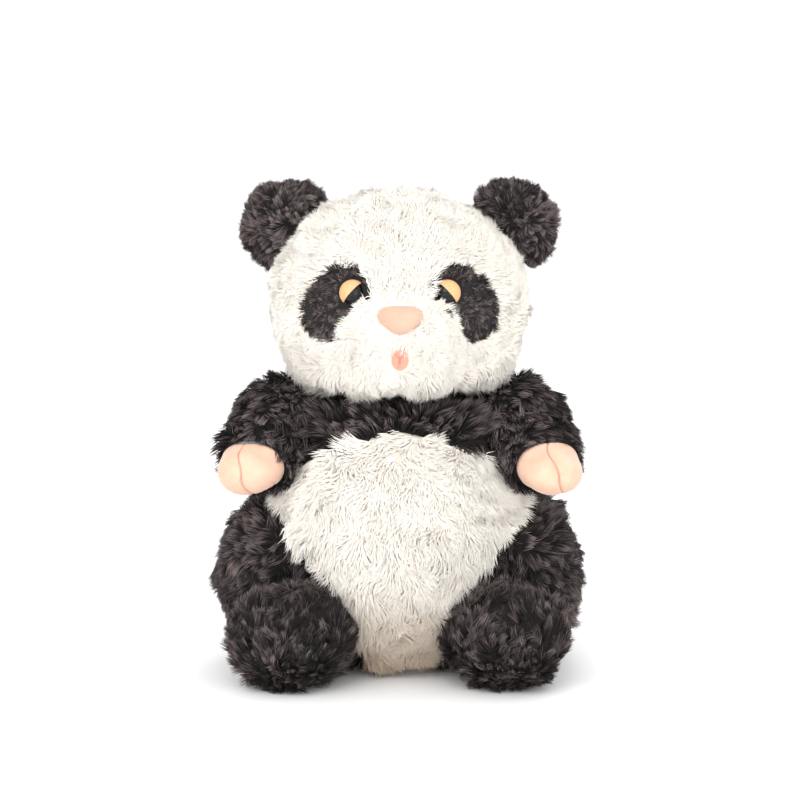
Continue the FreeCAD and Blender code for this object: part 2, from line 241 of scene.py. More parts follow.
def make_mesh(name, points, polygons, normals=None):
    """A mesh from points in mm and arrays of polygons, each array with one number of corners."""
    mesh = bpy.data.meshes.new(name)
    corners = np.concatenate([np.asarray(part).reshape(-1) for part in polygons])
    sizes = np.concatenate([np.full(len(part), part.shape[1]) for part in polygons])
    mesh.vertices.add(len(points))
    mesh.vertices.foreach_set("co", (np.asarray(points) * MM).astype(np.float32).reshape(-1))
    mesh.loops.add(len(corners))
    mesh.loops.foreach_set("vertex_index", corners.astype(np.int32))
    mesh.polygons.add(len(sizes))
    starts = np.concatenate([[0], np.cumsum(sizes)[:-1]])
    mesh.polygons.foreach_set("loop_start", starts.astype(np.int32))
    mesh.update(calc_edges=True)
    mesh.polygons.foreach_set("use_smooth", np.ones(len(sizes), bool))
    if normals is not None:
        mesh.normals_split_custom_set_from_vertices(normals.astype(np.float32))
    return mesh


def link_object(name, content):
    """An object in the scene for a mesh, a lamp or a camera."""
    holder = bpy.data.objects.new(name, content)
    bpy.context.scene.collection.objects.link(holder)
    return holder


def add_piece(name, body, mesh, slot, replaced=(), material=None):
    """Puts a mesh on its body with a material, the slot's unless another is named, and hides the nodes it
    stands for.
    """
    piece = link_object(name, mesh)
    mesh.materials.append(MATERIALS[material or slot])
    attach(piece, body)
    if replaced:
        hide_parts(*replaced)
    return piece


def add_values(mesh, name, values):
    attribute = mesh.attributes.new(name, "FLOAT", "POINT")
    attribute.data.foreach_set("value", np.asarray(values, np.float32).reshape(-1))


def ball_directions(detail):
    """The corners and triangles of a finely divided ball of radius 1."""
    import bmesh
    ball = bmesh.new()
    bmesh.ops.create_icosphere(ball, subdivisions=detail, radius=1.0)
    ball.verts.ensure_lookup_table()
    corners = np.array([vertex.co for vertex in ball.verts])
    faces = np.array([[vertex.index for vertex in face.verts] for face in ball.faces])
    ball.free()
    return unit(corners), faces


BALLS = {detail: ball_directions(detail) for detail in (4, 5, 6)}


def reach_of(gap, centre, directions, furthest=130.0, step=2.5):
    """How far each direction runs from centre before it first leaves the shape."""
    start = np.broadcast_to(centre, directions.shape)
    near = np.zeros(len(directions))
    far = np.full(len(directions), furthest)
    inside = np.ones(len(directions), bool)
    distance = step
    while distance < furthest and inside.any():
        gaps = gap(start[inside] + directions[inside] * distance)
        numbers = np.flatnonzero(inside)
        left = gaps > 0
        far[numbers[left]] = distance
        near[numbers[~left]] = distance
        inside[numbers[left]] = False
        distance += step
    for _ in range(REACH_HALVINGS):
        middle = (near + far) / 2
        left = gap(start + directions * middle[:, None]) > 0
        far = np.where(left, middle, far)
        near = np.where(left, near, middle)
    return (near + far) / 2


def slope_of(gap, points, step=0.5):
    """The way out of the shape at each point."""
    steps = np.eye(3) * step
    return unit(np.stack([gap(points + s) - gap(points - s) for s in steps], axis=1))


class Pelt:
    """The skin round one stuffed form, as triangles seen from its centre."""

    def __init__(self, gap, centre, detail):
        directions, self.faces = BALLS[detail]
        self.gap = gap
        self.centre = np.array(centre, float)
        reach = reach_of(gap, self.centre, directions)
        self.points = self.centre + directions * reach[:, None]
        self.points[:, 2] = np.maximum(self.points[:, 2], FLOOR_GAP)
        self.normals = slope_of(gap, self.points)

    def chosen(self, region):
        """The triangles whose middle lies in a region."""
        return self.faces[region(self.points[self.faces].mean(axis=1))]

    def scatter(self, region, count, random):
        """Evenly spread points and normals in a region."""
        near = region(self.points)
        faces = self.faces[near[self.faces].any(axis=1)]
        corners = self.points[faces]
        sides = np.cross(corners[:, 1] - corners[:, 0], corners[:, 2] - corners[:, 0])
        area = np.cumsum(np.linalg.norm(sides, axis=1))
        steps = (np.arange(count) + random.uniform(0, 1, count)) / count * area[-1]
        picked = np.minimum(np.searchsorted(area, steps), len(faces) - 1)
        u, v = random.uniform(0, 1, (2, count))
        over = u + v > 1
        u, v = np.where(over, 1 - u, u), np.where(over, 1 - v, v)
        shares = np.stack([1 - u - v, u, v], axis=1)[:, :, None]
        points = (corners[picked] * shares).sum(axis=1)
        normals = unit((self.normals[faces[picked]] * shares).sum(axis=1))
        kept = region(points) & (np.abs(self.gap(points)) < SURFACE_SLACK)
        return points[kept], normals[kept]

    def lifted(self, amount):
        """The same skin, further out."""
        other = copy.copy(self)
        other.points = self.points + self.normals * amount
        return other


def sheet_of(points, normals, faces, thickness):
    """A closed sheet of cloth: the outer faces, the same faces further in, and the rim."""
    used, compact = np.unique(faces, return_inverse=True)
    faces = compact.reshape(faces.shape)
    outer = points[used]
    inner = outer - normals[used] * thickness
    count = len(used)
    corner_count = faces.shape[1]
    starts = faces.reshape(-1)
    ends = np.roll(faces, -1, axis=1).reshape(-1)
    edges = set(zip(starts.tolist(), ends.tolist()))
    rim = [(b, a, a + count, b + count) for a, b in edges if (b, a) not in edges]
    sides = [faces, faces[:, ::-1] + count]
    if corner_count == 4 or not rim:
        sides = [np.vstack(sides)]
    if rim:
        sides.append(np.array(sorted(rim)))
    return np.vstack([outer, inner]), sides


def grid_faces(rows, columns, closed=False):
    """Squares between the points of a grid; closed joins the last column to the first."""
    row, column = np.meshgrid(np.arange(rows - 1), np.arange(columns if closed else columns - 1),
                              indexing="ij")
    after = (column + 1) % columns
    squares = np.stack([row * columns + column, row * columns + after,
                        (row + 1) * columns + after, (row + 1) * columns + column], axis=-1)
    return squares.reshape(-1, 4)


def turned_points(profile, count=48):
    """Points and faces of a closed profile of (radius, height), turned about Z."""
    turn = np.arange(count) * 2 * math.pi / count
    rings = [np.stack([r * np.cos(turn), r * np.sin(turn), np.full(count, z)], axis=1)
             for r, z in profile]
    points = np.vstack(rings)
    faces = grid_faces(len(profile), count, closed=True)
    bottom = np.arange(count)[::-1][None, :]
    top = (np.arange(count) + (len(profile) - 1) * count)[None, :]
    return points, [faces, bottom, top]


def facing(normal):
    """Three axes: across, up and out, with out along normal."""
    out = unit(np.asarray(normal, float))
    across = unit(np.cross(UP, out))
    return np.stack([across, np.cross(out, across), out])


# ---- pile

def combed(style, roots, normals, comb, random, seed):
    """The way each strand leans and the way across it."""
    lie = comb(roots)
    swirl = math.radians(style["swirl"])
    turn = swirl * wavy(roots, style["tuft"], seed) + 0.35 * swirl * random.normal(size=len(roots))
    lie = unit(lie - (lie * normals).sum(axis=1, keepdims=True) * normals)
    over = np.cross(normals, lie)
    lie = lie * np.cos(turn)[:, None] + over * np.sin(turn)[:, None]
    return lie, np.cross(normals, lie)


def strand_paths(style, roots, normals, comb, random, seed):
    """Points along each strand from its root to its tip, gathered into locks."""
    count = len(roots)
    lie, across = combed(style, roots, normals, comb, random, seed)
    spread = 1 + 0.22 * wavy(roots, style["tuft"] * 1.7, seed + 1)
    length = style["length"] * spread * random.uniform(0.75, 1.15, count)
    if "short" in style:
        length = length * style["short"](roots)
    first, last = (math.radians(angle) for angle in style["lean"])
    raised = 0.25 * wavy(roots, style["tuft"], seed + 2) + 0.12 * random.normal(size=count)
    path = [roots - normals * ROOT_DEPTH]
    for step in range(RINGS):
        share = (step + 0.5) / RINGS
        lean = np.clip(first + (last - first) * share + raised, 0, MOST_LEAN)[:, None]
        heading = np.cos(lean) * normals + np.sin(lean) * lie
        path.append(path[-1] + heading * (length / RINGS)[:, None])
    path = np.stack(path, axis=1)
    shares = np.linspace(0, 1, RINGS + 1)
    phase = 2 * math.pi * wavy(roots, style["tuft"] * 2, seed + 3) + random.normal(size=count) * 0.5
    curl = np.sin(phase[:, None] + shares * 2 * math.pi * style["turns"]) * shares
    path += across[:, None] * (curl * style["curl"] * length[:, None])[:, :, None]
    return gathered(style, roots, path, shares, random), across


def gathered(style, roots, path, shares, random):
    """Pulls the strands of each lock towards the strand that leads it."""
    count = len(roots)
    leaders = random.choice(count, max(1, count // style["lock"]), replace=False)
    tree = kdtree.KDTree(len(leaders))
    for number, leader in enumerate(leaders):
        tree.insert(Vector(roots[leader]), number)
    tree.balance()
    nearest = np.array([tree.find(root)[1] for root in roots])
    leads = path[leaders[nearest]]
    pull = style["pull"] * random.uniform(0.55, 1.0, count)[:, None] * shares ** 1.2
    return path + (leads - path) * pull[:, :, None], nearest


def strand_points(style, path, across, normals):
    """Three corners round each point of a path and one at its tip, with soft normals."""
    count = len(path)
    widths = np.array(style["width"]) / 2
    heading = unit(path[:, 1:] - path[:, :-1])
    over = unit(np.cross(heading, across[:, None]))
    sideways = np.cross(over, heading)
    turn = np.arange(3) * 2 * math.pi / 3
    round_it = np.cos(turn)[:, None] * sideways[:, :, None] + np.sin(turn)[:, None] * over[:, :, None]
    corners = path[:, :RINGS, None] + round_it * widths[None, :, None, None]
    corners = np.concatenate([corners.reshape(count, RINGS * 3, 3), path[:, -1:]], axis=1)
    soft = np.concatenate([round_it.reshape(count, RINGS * 3, 3), heading[:, -1:]], axis=1)
    soft = unit(soft * (1 - style["soft"]) + normals[:, None] * style["soft"])
    corners[:, :, 2] = np.maximum(corners[:, :, 2], FLOOR_GAP)
    return corners, soft


def strand_faces():
    """The polygons of one strand, and where each corner lies across and along it."""
    squares, square_marks = [], []
    triangles, triangle_marks = [(2, 1, 0)], [(0.9, 0.0), (0.5, 0.0), (0.1, 0.0)]
    tip = RINGS * 3
    for side in range(3):
        after = (side + 1) % 3
        left, right = side / 3, side / 3 + 1 / 3
        squares.append((side, after, 3 + after, 3 + side))
        square_marks += [(left, 0.0), (right, 0.0), (right, 0.5), (left, 0.5)]
        triangles.append((3 + side, 3 + after, tip))
        triangle_marks += [(left, 0.5), (right, 0.5), (side / 3 + 1 / 6, 1.0)]
    return np.array(squares), np.array(triangles), np.array(square_marks), np.array(triangle_marks)


def strand_uvs(count, square_marks, triangle_marks):
    """Gives each strand a cell of its own in the unit square."""
    cells = math.ceil(math.sqrt(count))
    numbers = np.arange(count)
    origin = np.stack([numbers % cells, numbers // cells], axis=1)[:, None]
    parts = [((origin + 0.08 + 0.84 * marks) / cells).reshape(-1, 2)
             for marks in (square_marks, triangle_marks)]
    return np.concatenate(parts)


def grow_pile(name, body, pelt, region, style, comb, count, seed):
    """Plants strands on a region of a pelt and makes one piece of them."""
    random = np.random.default_rng(seed)
    roots, normals = pelt.scatter(region, count, random)
    (path, lock), across = strand_paths(style, roots, normals, comb, random, seed)
    corners, soft = strand_points(style, path, across, normals)
    per_strand = RINGS * 3 + 1
    squares, triangles, square_marks, triangle_marks = strand_faces()
    offsets = (np.arange(len(roots)) * per_strand)[:, None, None]
    polygons = [(squares + offsets).reshape(-1, 4), (triangles + offsets).reshape(-1, 3)]
    mesh = make_mesh(name, corners.reshape(-1, 3), polygons, soft.reshape(-1, 3))
    along = np.append(np.repeat(np.arange(RINGS) / RINGS, 3), 1.0)
    add_values(mesh, "along", np.tile(along, len(roots)))
    tone = strand_tones(style, roots, lock, random, seed)
    add_values(mesh, "tone", np.repeat(np.clip(tone, 0, 1), per_strand))
    # the belly's stain and painted shade towards the floor
    if "stain_and_shade" in style:
        add_values(mesh, "stain_and_shade", np.repeat(style["stain_and_shade"](roots), per_strand))
    layer = mesh.uv_layers.new(name=BAKE_LAYER)
    uvs = strand_uvs(len(roots), square_marks, triangle_marks)
    layer.data.foreach_set("uv", uvs.astype(np.float32).reshape(-1))
    add_piece(name, body, mesh, style["slot"], material=style["slot"] + "_pile")


def strand_tones(style, roots, lock, random, seed):
    """How bright each strand is, which differs by lock, by strand and from place to place."""
    lock_tone = np.random.default_rng(seed + 5).normal(size=lock.max() + 1)[lock]
    tone = MEAN_TONE + LOCK_TONE * lock_tone + STRAND_TONE * random.normal(size=len(roots))
    tone += PLACE_TONE * wavy(roots, style["tuft"] * 3, seed + 4)
    # A style's light adds painted light and shade to the tone, as on the feet.
    if "light" in style:
        tone = tone + style["light"](roots)
    return tone


def skin_piece(name, body, pelt, region, slot, replaced):
    """The backing cloth under the pile of one panel."""
    points, polygons = sheet_of(pelt.points, pelt.normals, pelt.chosen(region), BACKING_THICKNESS)
    add_piece(name, body, make_mesh(name, points, polygons), slot, replaced, slot + "_backing")


def filling_piece(name, body, gap, centre, inset, replaced):
    """The stuffing, which follows the skin from the inside."""
    pelt = Pelt(grown(gap, -inset), centre, 4)
    mesh = make_mesh(name, pelt.points, [pelt.faces])
    add_piece(name, body, mesh, "filling_fibre", replaced)


# ---- materials

def new_material(name, roughness, **sockets):
    """A material with constant values on its shader, and its nodes to build on."""
    material = bpy.data.materials.new(name)
    material.use_nodes = True
    nodes = material.node_tree.nodes
    shader = nodes["Principled BSDF"]
    shader.inputs["Roughness"].default_value = roughness
    for key, value in sockets.items():
        shader.inputs[key.replace("_", " ")].default_value = value
    return material, nodes, shader


def link(nodes, output, socket):
    nodes.id_data.links.new(output, socket)


def ramp(nodes, value, stops):
    """The colour that (place, colour) stops give for a value."""
    node = nodes.new("ShaderNodeValToRGB")
    elements = node.color_ramp.elements
    while len(elements) < len(stops):
        elements.new(0.5)
    for element, (place, colour) in zip(elements, stops):
        element.position = place
        element.color = (*colour, 1.0)
    link(nodes, value, node.inputs["Fac"])
    return node.outputs["Color"]


def attribute(nodes, name):
    node = nodes.new("ShaderNodeAttribute")
    node.attribute_name = name
    return node.outputs["Fac"]


def mixed(nodes, factor, one, other):
    node = nodes.new("ShaderNodeMix")
    node.data_type = "RGBA"
    for value, socket in ((factor, "Factor"), (one, "A"), (other, "B")):
        link(nodes, value, node.inputs[socket])
    return node.outputs["Result"]


def noise(nodes, scale, detail=3.0):
    """Noise over the object's own coordinates, scale per metre."""
    place = nodes.new("ShaderNodeTexCoord")
    texture = nodes.new("ShaderNodeTexNoise")
    texture.inputs["Scale"].default_value = scale
    texture.inputs["Detail"].default_value = detail
    link(nodes, place.outputs["Object"], texture.inputs["Vector"])
    return texture.outputs["Fac"]


def add_bump(nodes, shader, height, strength, distance):
    bump = nodes.new("ShaderNodeBump")
    bump.inputs["Strength"].default_value = strength
    bump.inputs["Distance"].default_value = distance
    link(nodes, height, bump.inputs["Height"])
    link(nodes, bump.outputs["Normal"], shader.inputs["Normal"])


def pile_material(name, dull, bright, stain_and_shade=None):
    """Fur: dark at the root and light at the tip, between a dull lock and a bright one. The dark roots are
    painted shade in the depth of the pile, and the light tips of the black fur are painted highlights.
    """
    material, nodes, shader = new_material(name, 0.75, Specular_IOR_Level=0.25)
    along = attribute(nodes, "along")
    colour = mixed(nodes, attribute(nodes, "tone"), ramp(nodes, along, dull), ramp(nodes, along, bright))
    # a stain and painted shade towards the floor, where the style gives them
    if stain_and_shade:
        colour = mixed(nodes, attribute(nodes, "stain_and_shade"), colour, ramp(nodes, along, stain_and_shade))
    link(nodes, colour, shader.inputs["Base Color"])
    return material


def cloth_material(name, dark, light, scale=1400.0, roughness=0.95):
    """Knitted or brushed cloth: two colours in fine grain with a slow change over the panel."""
    material, nodes, shader = new_material(name, roughness)
    fine, slow = noise(nodes, scale), noise(nodes, 45.0, 2.0)
    stops = [(0.3, dark), (0.7, light)]
    colour = mixed(nodes, fine, ramp(nodes, fine, stops), ramp(nodes, slow, stops))
    link(nodes, colour, shader.inputs["Base Color"])
    add_bump(nodes, shader, fine, 0.5, 0.0004)
    return material


def suede_material():
    """Peach suede: short nap with clouded colour, and painted shade that darkens it in its creases."""
    material, nodes, shader = new_material(
        "peach_suede", 0.9, Sheen_Weight=0.35, Sheen_Roughness=0.5, Specular_IOR_Level=0.2)
    fine, slow = noise(nodes, 2600.0), noise(nodes, 110.0, 4.0)
    cloud = ramp(nodes, slow, [(0.35, (0.73, 0.45, 0.32)), (0.65, (0.81, 0.52, 0.39))])
    # The crease colour is painted shade, mixed in by the crease attribute.
    crease = ramp(nodes, fine, [(0.0, (0.62, 0.28, 0.20)), (1.0, (0.70, 0.34, 0.26))])
    link(nodes, mixed(nodes, attribute(nodes, "crease"), cloud, crease), shader.inputs["Base Color"])
    add_bump(nodes, shader, fine, 0.35, 0.0003)
    return material


def plastic_material(name, dark, light, roughness):
    """Moulded plastic with faint handling marks in its gloss."""
    material, nodes, shader = new_material(name, roughness, Specular_IOR_Level=0.35)
    marks = noise(nodes, 900.0, 5.0)
    link(nodes, ramp(nodes, marks, [(0.3, dark), (0.7, light)]), shader.inputs["Base Color"])
    add_bump(nodes, shader, marks, 0.04, 0.0002)
    return material


# Root to tip ramps of the fur: the dark roots are painted shade in the depth of the pile, warm for the
# white fur, and the light tips of the bright black locks are painted highlights.
BLACK_DULL = [(0.0, (0.002, 0.002, 0.002)), (0.45, (0.006, 0.005, 0.005)), (1.0, (0.022, 0.017, 0.017))]
BLACK_BRIGHT = [(0.0, (0.005, 0.004, 0.004)), (0.45, (0.045, 0.035, 0.035)), (1.0, (0.380, 0.300, 0.295))]
WHITE_DULL = [(0.0, (0.96, 0.85, 0.72)), (0.5, (0.97, 0.91, 0.82)), (1.0, (0.98, 0.94, 0.86))]
WHITE_BRIGHT = [(0.0, (0.97, 0.89, 0.79)), (0.5, (0.98, 0.94, 0.87)), (1.0, (1.0, 0.97, 0.91))]
# The belly's darkening towards the floor: partly a creamy stain, partly painted shade.
BELLY_STAIN_AND_SHADE = [(0.0, (0.22, 0.13, 0.07)), (0.6, (0.46, 0.33, 0.22)), (1.0, (0.66, 0.53, 0.41))]
BLACK_CLOTH = ((0.006, 0.005, 0.005), (0.016, 0.013, 0.013))


def make_materials():
    piles = {
        "black_plush_pile": ("black_plush_pile", BLACK_DULL, BLACK_BRIGHT),
        "black_short_plush_pile": ("black_short_pile", BLACK_DULL, BLACK_BRIGHT),
        "white_plush_pile": ("white_plush_pile", WHITE_DULL, WHITE_BRIGHT),
        "white_long_plush_pile": ("white_long_pile", WHITE_DULL, WHITE_BRIGHT, BELLY_STAIN_AND_SHADE),
    }
    cloths = {
        "black_plush_backing": ("black_backing", *BLACK_CLOTH),
        "black_short_plush_backing": ("patch_backing", *BLACK_CLOTH),
        # The white backings are off-white cloth, tinted a darker cream as painted shade in the gaps
        # between tufts.
        "white_plush_backing": ("white_backing", (0.90, 0.84, 0.76), (0.96, 0.92, 0.86)),
        "white_long_plush_backing": ("belly_backing", (0.86, 0.79, 0.70), (0.94, 0.89, 0.82)),
        "lining_cloth": ("lining_cloth", (0.02, 0.02, 0.022), (0.06, 0.06, 0.065), 2200.0),
        "filling_fibre": ("filling_fibre", (0.80, 0.80, 0.80), (0.95, 0.95, 0.95), 600.0),
        "filling_pellets": ("filling_pellets", (0.55, 0.55, 0.53), (0.85, 0.85, 0.82), 500.0, 0.5),
        "label_satin": ("label_satin", (0.80, 0.80, 0.79), (0.93, 0.93, 0.92), 5000.0, 0.35),
    }
    plastics = {
        "tan_plastic": ((0.70, 0.38, 0.17), (0.80, 0.47, 0.24), 0.5),
        "eye_plastic": ((0.002, 0.002, 0.002), (0.006, 0.005, 0.005), 0.05),
        "washer_plastic": ((0.70, 0.70, 0.68), (0.86, 0.86, 0.84), 0.45),
    }
    materials = {key: pile_material(*values) for key, values in piles.items()}
    materials.update({key: cloth_material(*values) for key, values in cloths.items()})
    materials["peach_suede"] = suede_material()
    materials.update({key: plastic_material(key, *values) for key, values in plastics.items()})
    materials["lining_cloth_backing"] = materials["lining_cloth"]
    return materials


MATERIALS = make_materials()


# ---- places

TORSO_LOW, TORSO_HIGH = node_box("belly_panel", "back_panel_left", "back_panel_right")
TORSO_Y = (TORSO_LOW[1] + TORSO_HIGH[1]) / 2
TORSO_MIDDLE = np.array([0.0, TORSO_Y, 70.0])
TORSO_OUTLINE = [(0, 1), (22, 1), (50, 9), (69, 36), (75.5, 76), (70, 110), (58, 133), (40, 146), (0, 148)]
SEAT_HEIGHT = 2.6        # the seat panel ends this high
COLLAR_HEIGHT = 130.0    # the long fur of the neck starts here
NECK_RADIUS = 33.0       # no pile grows between the head and the body inside this
NECK_TOP = 164.0
HEAD_HIGH = node_box("face_panel", "head_back_left", "head_back_right")[1]
HEAD_HALF_WIDTH = 72.0
HEAD_HALF_DEPTH = 59.5
HEAD = np.array([0.0, HEAD_HIGH[1] - HEAD_HALF_DEPTH, HEAD_HIGH[2] - HEAD_HALF_DEPTH])
HEAD_SEAM_Y = HEAD[1] + 6.0
MUZZLE_RADIUS = 47.0
MUZZLE = np.array([0.0, node_box("muzzle_panel")[0][1] + MUZZLE_RADIUS, HEAD[2] - 18.0])
NOSE = np.mean(node_box("nose"), axis=0)
MOUTH = np.mean(node_box("mouth_pocket"), axis=0)
EYE_RADIUS = 6.0
EAR_RADIUS = 25.0
SHOULDER_RADIUS = 28.0
PAW_RADIUS = 18.0
PAW_SQUEEZE = 0.36       # how much lower than wide the paw is
PAW_SEAM = 0.78          # where the paw is sewn on, as a share of the arm
PILE_ROOM = 3.0          # the backing lies this far inside the CAD panel's outer surface
SLEEVE_LOW, SLEEVE_HIGH = node_box("arm_sleeve_right")
SHOULDER = np.array([SLEEVE_LOW[0] + SHOULDER_RADIUS + 2.5, SLEEVE_HIGH[1] - SHOULDER_RADIUS,
                     SLEEVE_HIGH[2] - SHOULDER_RADIUS])
PAW_LOW, PAW_HIGH = node_box("paw_inner_right", "paw_outer_right")
PAW = np.array([PAW_HIGH[0] - PAW_RADIUS, PAW_LOW[1] + PAW_RADIUS, PAW_LOW[2] + PAW_RADIUS - 1.5])
HAUNCH_LOW, HAUNCH_HIGH = node_box("haunch_inner_right", "haunch_outer_right")
HAUNCH_RADIUS = (HAUNCH_HIGH[0] - HAUNCH_LOW[0]) / 2
HAUNCH_HALF_HEIGHT = 50.0
HIP = np.array([HAUNCH_LOW[0] + HAUNCH_RADIUS, HAUNCH_HIGH[1] - HAUNCH_RADIUS,
                HAUNCH_HIGH[2] - HAUNCH_HALF_HEIGHT])
FOOT_LOW, FOOT_HIGH = node_box("foot_front_right", "foot_back_right")
FOOT_RADIUS = 33.0
FOOT_HALF_HEIGHT = 28.0
FOOT = np.array([FOOT_LOW[0] + FOOT_RADIUS, FOOT_LOW[1] + FOOT_RADIUS, FOOT_HIGH[2] - FOOT_HALF_HEIGHT])


def mirrored(point, side):
    return np.array([side * point[0], point[1], point[2]])


def from_axis(points):
    """How far each point is from the body's upright axis."""
    return np.hypot(points[:, 0], points[:, 1] - TORSO_Y)


def wide_of_neck(points):
    return from_axis(points) > NECK_RADIUS


# ---- forms

def arm_form(side, grow=0.0):
    """A tapered sleeve that grows flatter towards the paw."""
    start, end = mirrored(SHOULDER, side), mirrored(PAW, side)
    cone = round_cone(start, end, SHOULDER_RADIUS + grow, PAW_RADIUS + grow)
    length = np.linalg.norm(end - start)
    axis = (end - start) / length
    up = unit(UP - (UP @ axis) * axis)

    def gap(points):
        offset = points - start
        share = np.clip(offset @ axis / length, 0, 1) ** 2
        return cone(points + (PAW_SQUEEZE * share * (offset @ up))[:, None] * up)
    return gap


def haunch_form(side, grow=0.0):
    radii = np.array([HAUNCH_RADIUS, HAUNCH_RADIUS, HAUNCH_HALF_HEIGHT])
    return ellipsoid(mirrored(HIP, side), radii + grow)


def foot_form(side, grow=0.0):
    radii = np.array([FOOT_RADIUS, FOOT_RADIUS, FOOT_HALF_HEIGHT])
    return ellipsoid(mirrored(FOOT, side), radii + grow)


def torso_form():
    """The pear of the body, hollowed where the legs and the arms lie against it."""
    form = turned(TORSO_MIDDLE, TORSO_OUTLINE)
    for side, _ in SIDES:
        for limb in (haunch_form(side, 1.0), foot_form(side, 1.0), arm_form(side, 1.5)):
            form = without(form, limb, 3.0)
    return form


def head_ball():
    """The head is widest a little under its middle, with full cheeks."""
    radii = np.array([HEAD_HALF_WIDTH - 1.0, HEAD_HALF_DEPTH, HEAD_HALF_DEPTH + 1.5]) - PILE_ROOM + 0.5

    def gap(points):
        offset = (points - HEAD) / radii
        lower = np.clip(-offset[:, 2], 0, 1)
        power = 2.0 + 0.7 * lower[:, None]
        near = (np.abs(offset) ** power).sum(axis=1) ** (1 / power[:, 0])
        return (near - 1) * radii.min()
    return gap


HEAD_BALL = head_ball()
MUZZLE_BALL = ellipsoid(MUZZLE, np.array([46.0, MUZZLE_RADIUS, MUZZLE_RADIUS]) - PILE_ROOM + 0.5)


def on_muzzle(points):
    return MUZZLE_BALL(points) < HEAD_BALL(points)


def head_form():
    """The head and its muzzle, cut flat over the neck, with the seams of the snout."""
    neck = lambda points: 158.5 + 0.05 * from_axis(points) - points[:, 2]
    form = common(joined(HEAD_BALL, MUZZLE_BALL, 6.0), neck, 6.0)
    off_snout = lambda points: (points[:, 1] > NOSE[1] + 30.0) | (points[:, 2] > NOSE[2])
    under_nose = seam_at(lambda points: points[:, 0] + off_snout(points) * 90.0, 1.3, 0.9)
    cheek = seam_at(lambda points: MUZZLE_BALL(points) - HEAD_BALL(points), 2.2, 0.8)
    return waved(dented(form, under_nose, cheek), 0.8, 38.0, 11)


# ---- styles of pile and combing

def stained_and_shaded(points):
    """The belly is creamier and darker towards the floor and deep between the legs: partly a real stain,
    partly painted shade near the floor.
    """
    low = np.clip((60.0 - points[:, 2]) / 48.0, 0, 1)
    return np.clip(low * 0.9 + 0.06 * wavy(points, 30.0, 71), 0, 1)


# length and width in mm; lean at the root and at the tip, and swirl, in degrees; tuft is the size
# in mm of a patch that leans one way; lock is the number of strands gathered together, and pull
# how closely; soft is how far a strand is lit like the surface under it.
BLACK = {"slot": "black_plush", "length": 10.5, "width": (0.7, 0.55), "lean": (30, 80), "swirl": 42,
         "tuft": 14.0, "turns": 0.6, "curl": 0.16, "lock": 15, "pull": 0.78, "soft": 0.45}
FACE = {"slot": "white_plush", "length": 7.5, "width": (0.6, 0.5), "lean": (28, 78), "swirl": 60,
        "tuft": 13.0, "turns": 0.6, "curl": 0.14, "lock": 8, "pull": 0.38, "soft": 0.94}
BELLY = {"slot": "white_long_plush", "length": 11.5, "width": (0.75, 0.6), "lean": (32, 80), "swirl": 60,
         "tuft": 18.0, "turns": 0.6, "curl": 0.12, "lock": 9, "pull": 0.4, "soft": 0.96,
         "stain_and_shade": stained_and_shaded}
PATCH = {**BLACK, "slot": "black_short_plush", "length": 5.0, "width": (0.55, 0.45), "lean": (35, 80),
         "tuft": 7.0, "lock": 8, "pull": 0.6}
COLLAR = {**BLACK, "length": 15.0, "lean": (0, 40)}


def outward(centre, drop=0.0):
    """Combed away from a point, and down."""
    return lambda points: unit(points - np.asarray(centre)) - np.array([0, 0, drop])


def fur_panels(pelt, body, panels, style, comb, shown, seed):
    """Backing and pile for the black panels (node, skin, pile, region, count) of one pelt."""
    for node, skin, pile, region, count in panels:
        skin_piece(skin, body, pelt, region, "black_plush", [node])
        grow_pile(pile, body, pelt, all_of(region, shown), style, comb, count, seed + count)


# ---- torso

def belly_edge(points):
    """How far inside the belly panel's outline each point lies, from the front."""
    heights = np.array([-4, 20, 40, 55, 70, 85, 95, 103, 111, 119, 126, 131, 134, 150.0])
    widths = np.array([20, 21, 24, 34, 49, 63, 70, 69, 62, 50, 36, 22, 10, -60.0])
    return np.interp(points[:, 2], heights, widths) - np.abs(points[:, 0])


def on_belly(points):
    return (belly_edge(points) > 0) & (points[:, 1] < TORSO_Y + 6.0)


OFF_LIMBS = all_of(*[clear_of(limb(side, 0.5)) for side, _ in SIDES
                     for limb in (haunch_form, foot_form, arm_form)])


def build_torso():
    form = torso_form()
    pelt = Pelt(waved(form, 0.9, 45.0, 21), TORSO_MIDDLE, 6)
    seat = under(Z, SEAT_HEIGHT)
    back = all_of(outside(on_belly), outside(seat))
    regions = {
        "belly_panel": all_of(on_belly, outside(seat)),
        "back_panel_left": all_of(back, outside(RIGHT)),
        "back_panel_right": all_of(back, RIGHT),
        "seat_panel": seat,
    }
    slots = {"belly_panel": "white_long_plush", "seat_panel": "lining_cloth"}
    for node, region in regions.items():
        skin_piece(node + "_skin", "torso", pelt, region, slots.get(node, "black_plush"), [node])
    grow_torso_piles(pelt, regions)
    filling_piece("torso_filling", "torso", form, TORSO_MIDDLE, 5.0, ["torso_stuffing"])


def grow_torso_piles(pelt, regions):
    collar = over(Z, COLLAR_HEIGHT)
    belly_comb = outward(TORSO_MIDDLE + 14.0 * UP, 0.25)
    back_comb = outward(TORSO_MIDDLE + 40.0 * UP, 0.9)
    for side, name in SIDES:
        half = all_of(on_side(side), on_belly, OFF_LIMBS, over(Z, 9.0))
        grow_pile("belly_pile_" + name, "torso", pelt, half, BELLY, belly_comb, 16500, 31 + side)
        back = all_of(regions["back_panel_" + name], OFF_LIMBS, outside(collar))
        grow_pile("back_pile_" + name, "torso", pelt, back, BLACK, back_comb, 8500, 35 + side)
    ring = all_of(collar, outside(on_belly), OFF_LIMBS, wide_of_neck)
    grow_pile("neck_pile", "torso", pelt, ring, COLLAR, outward(TORSO_MIDDLE + 20.0 * UP), 8000, 39)


# ---- head

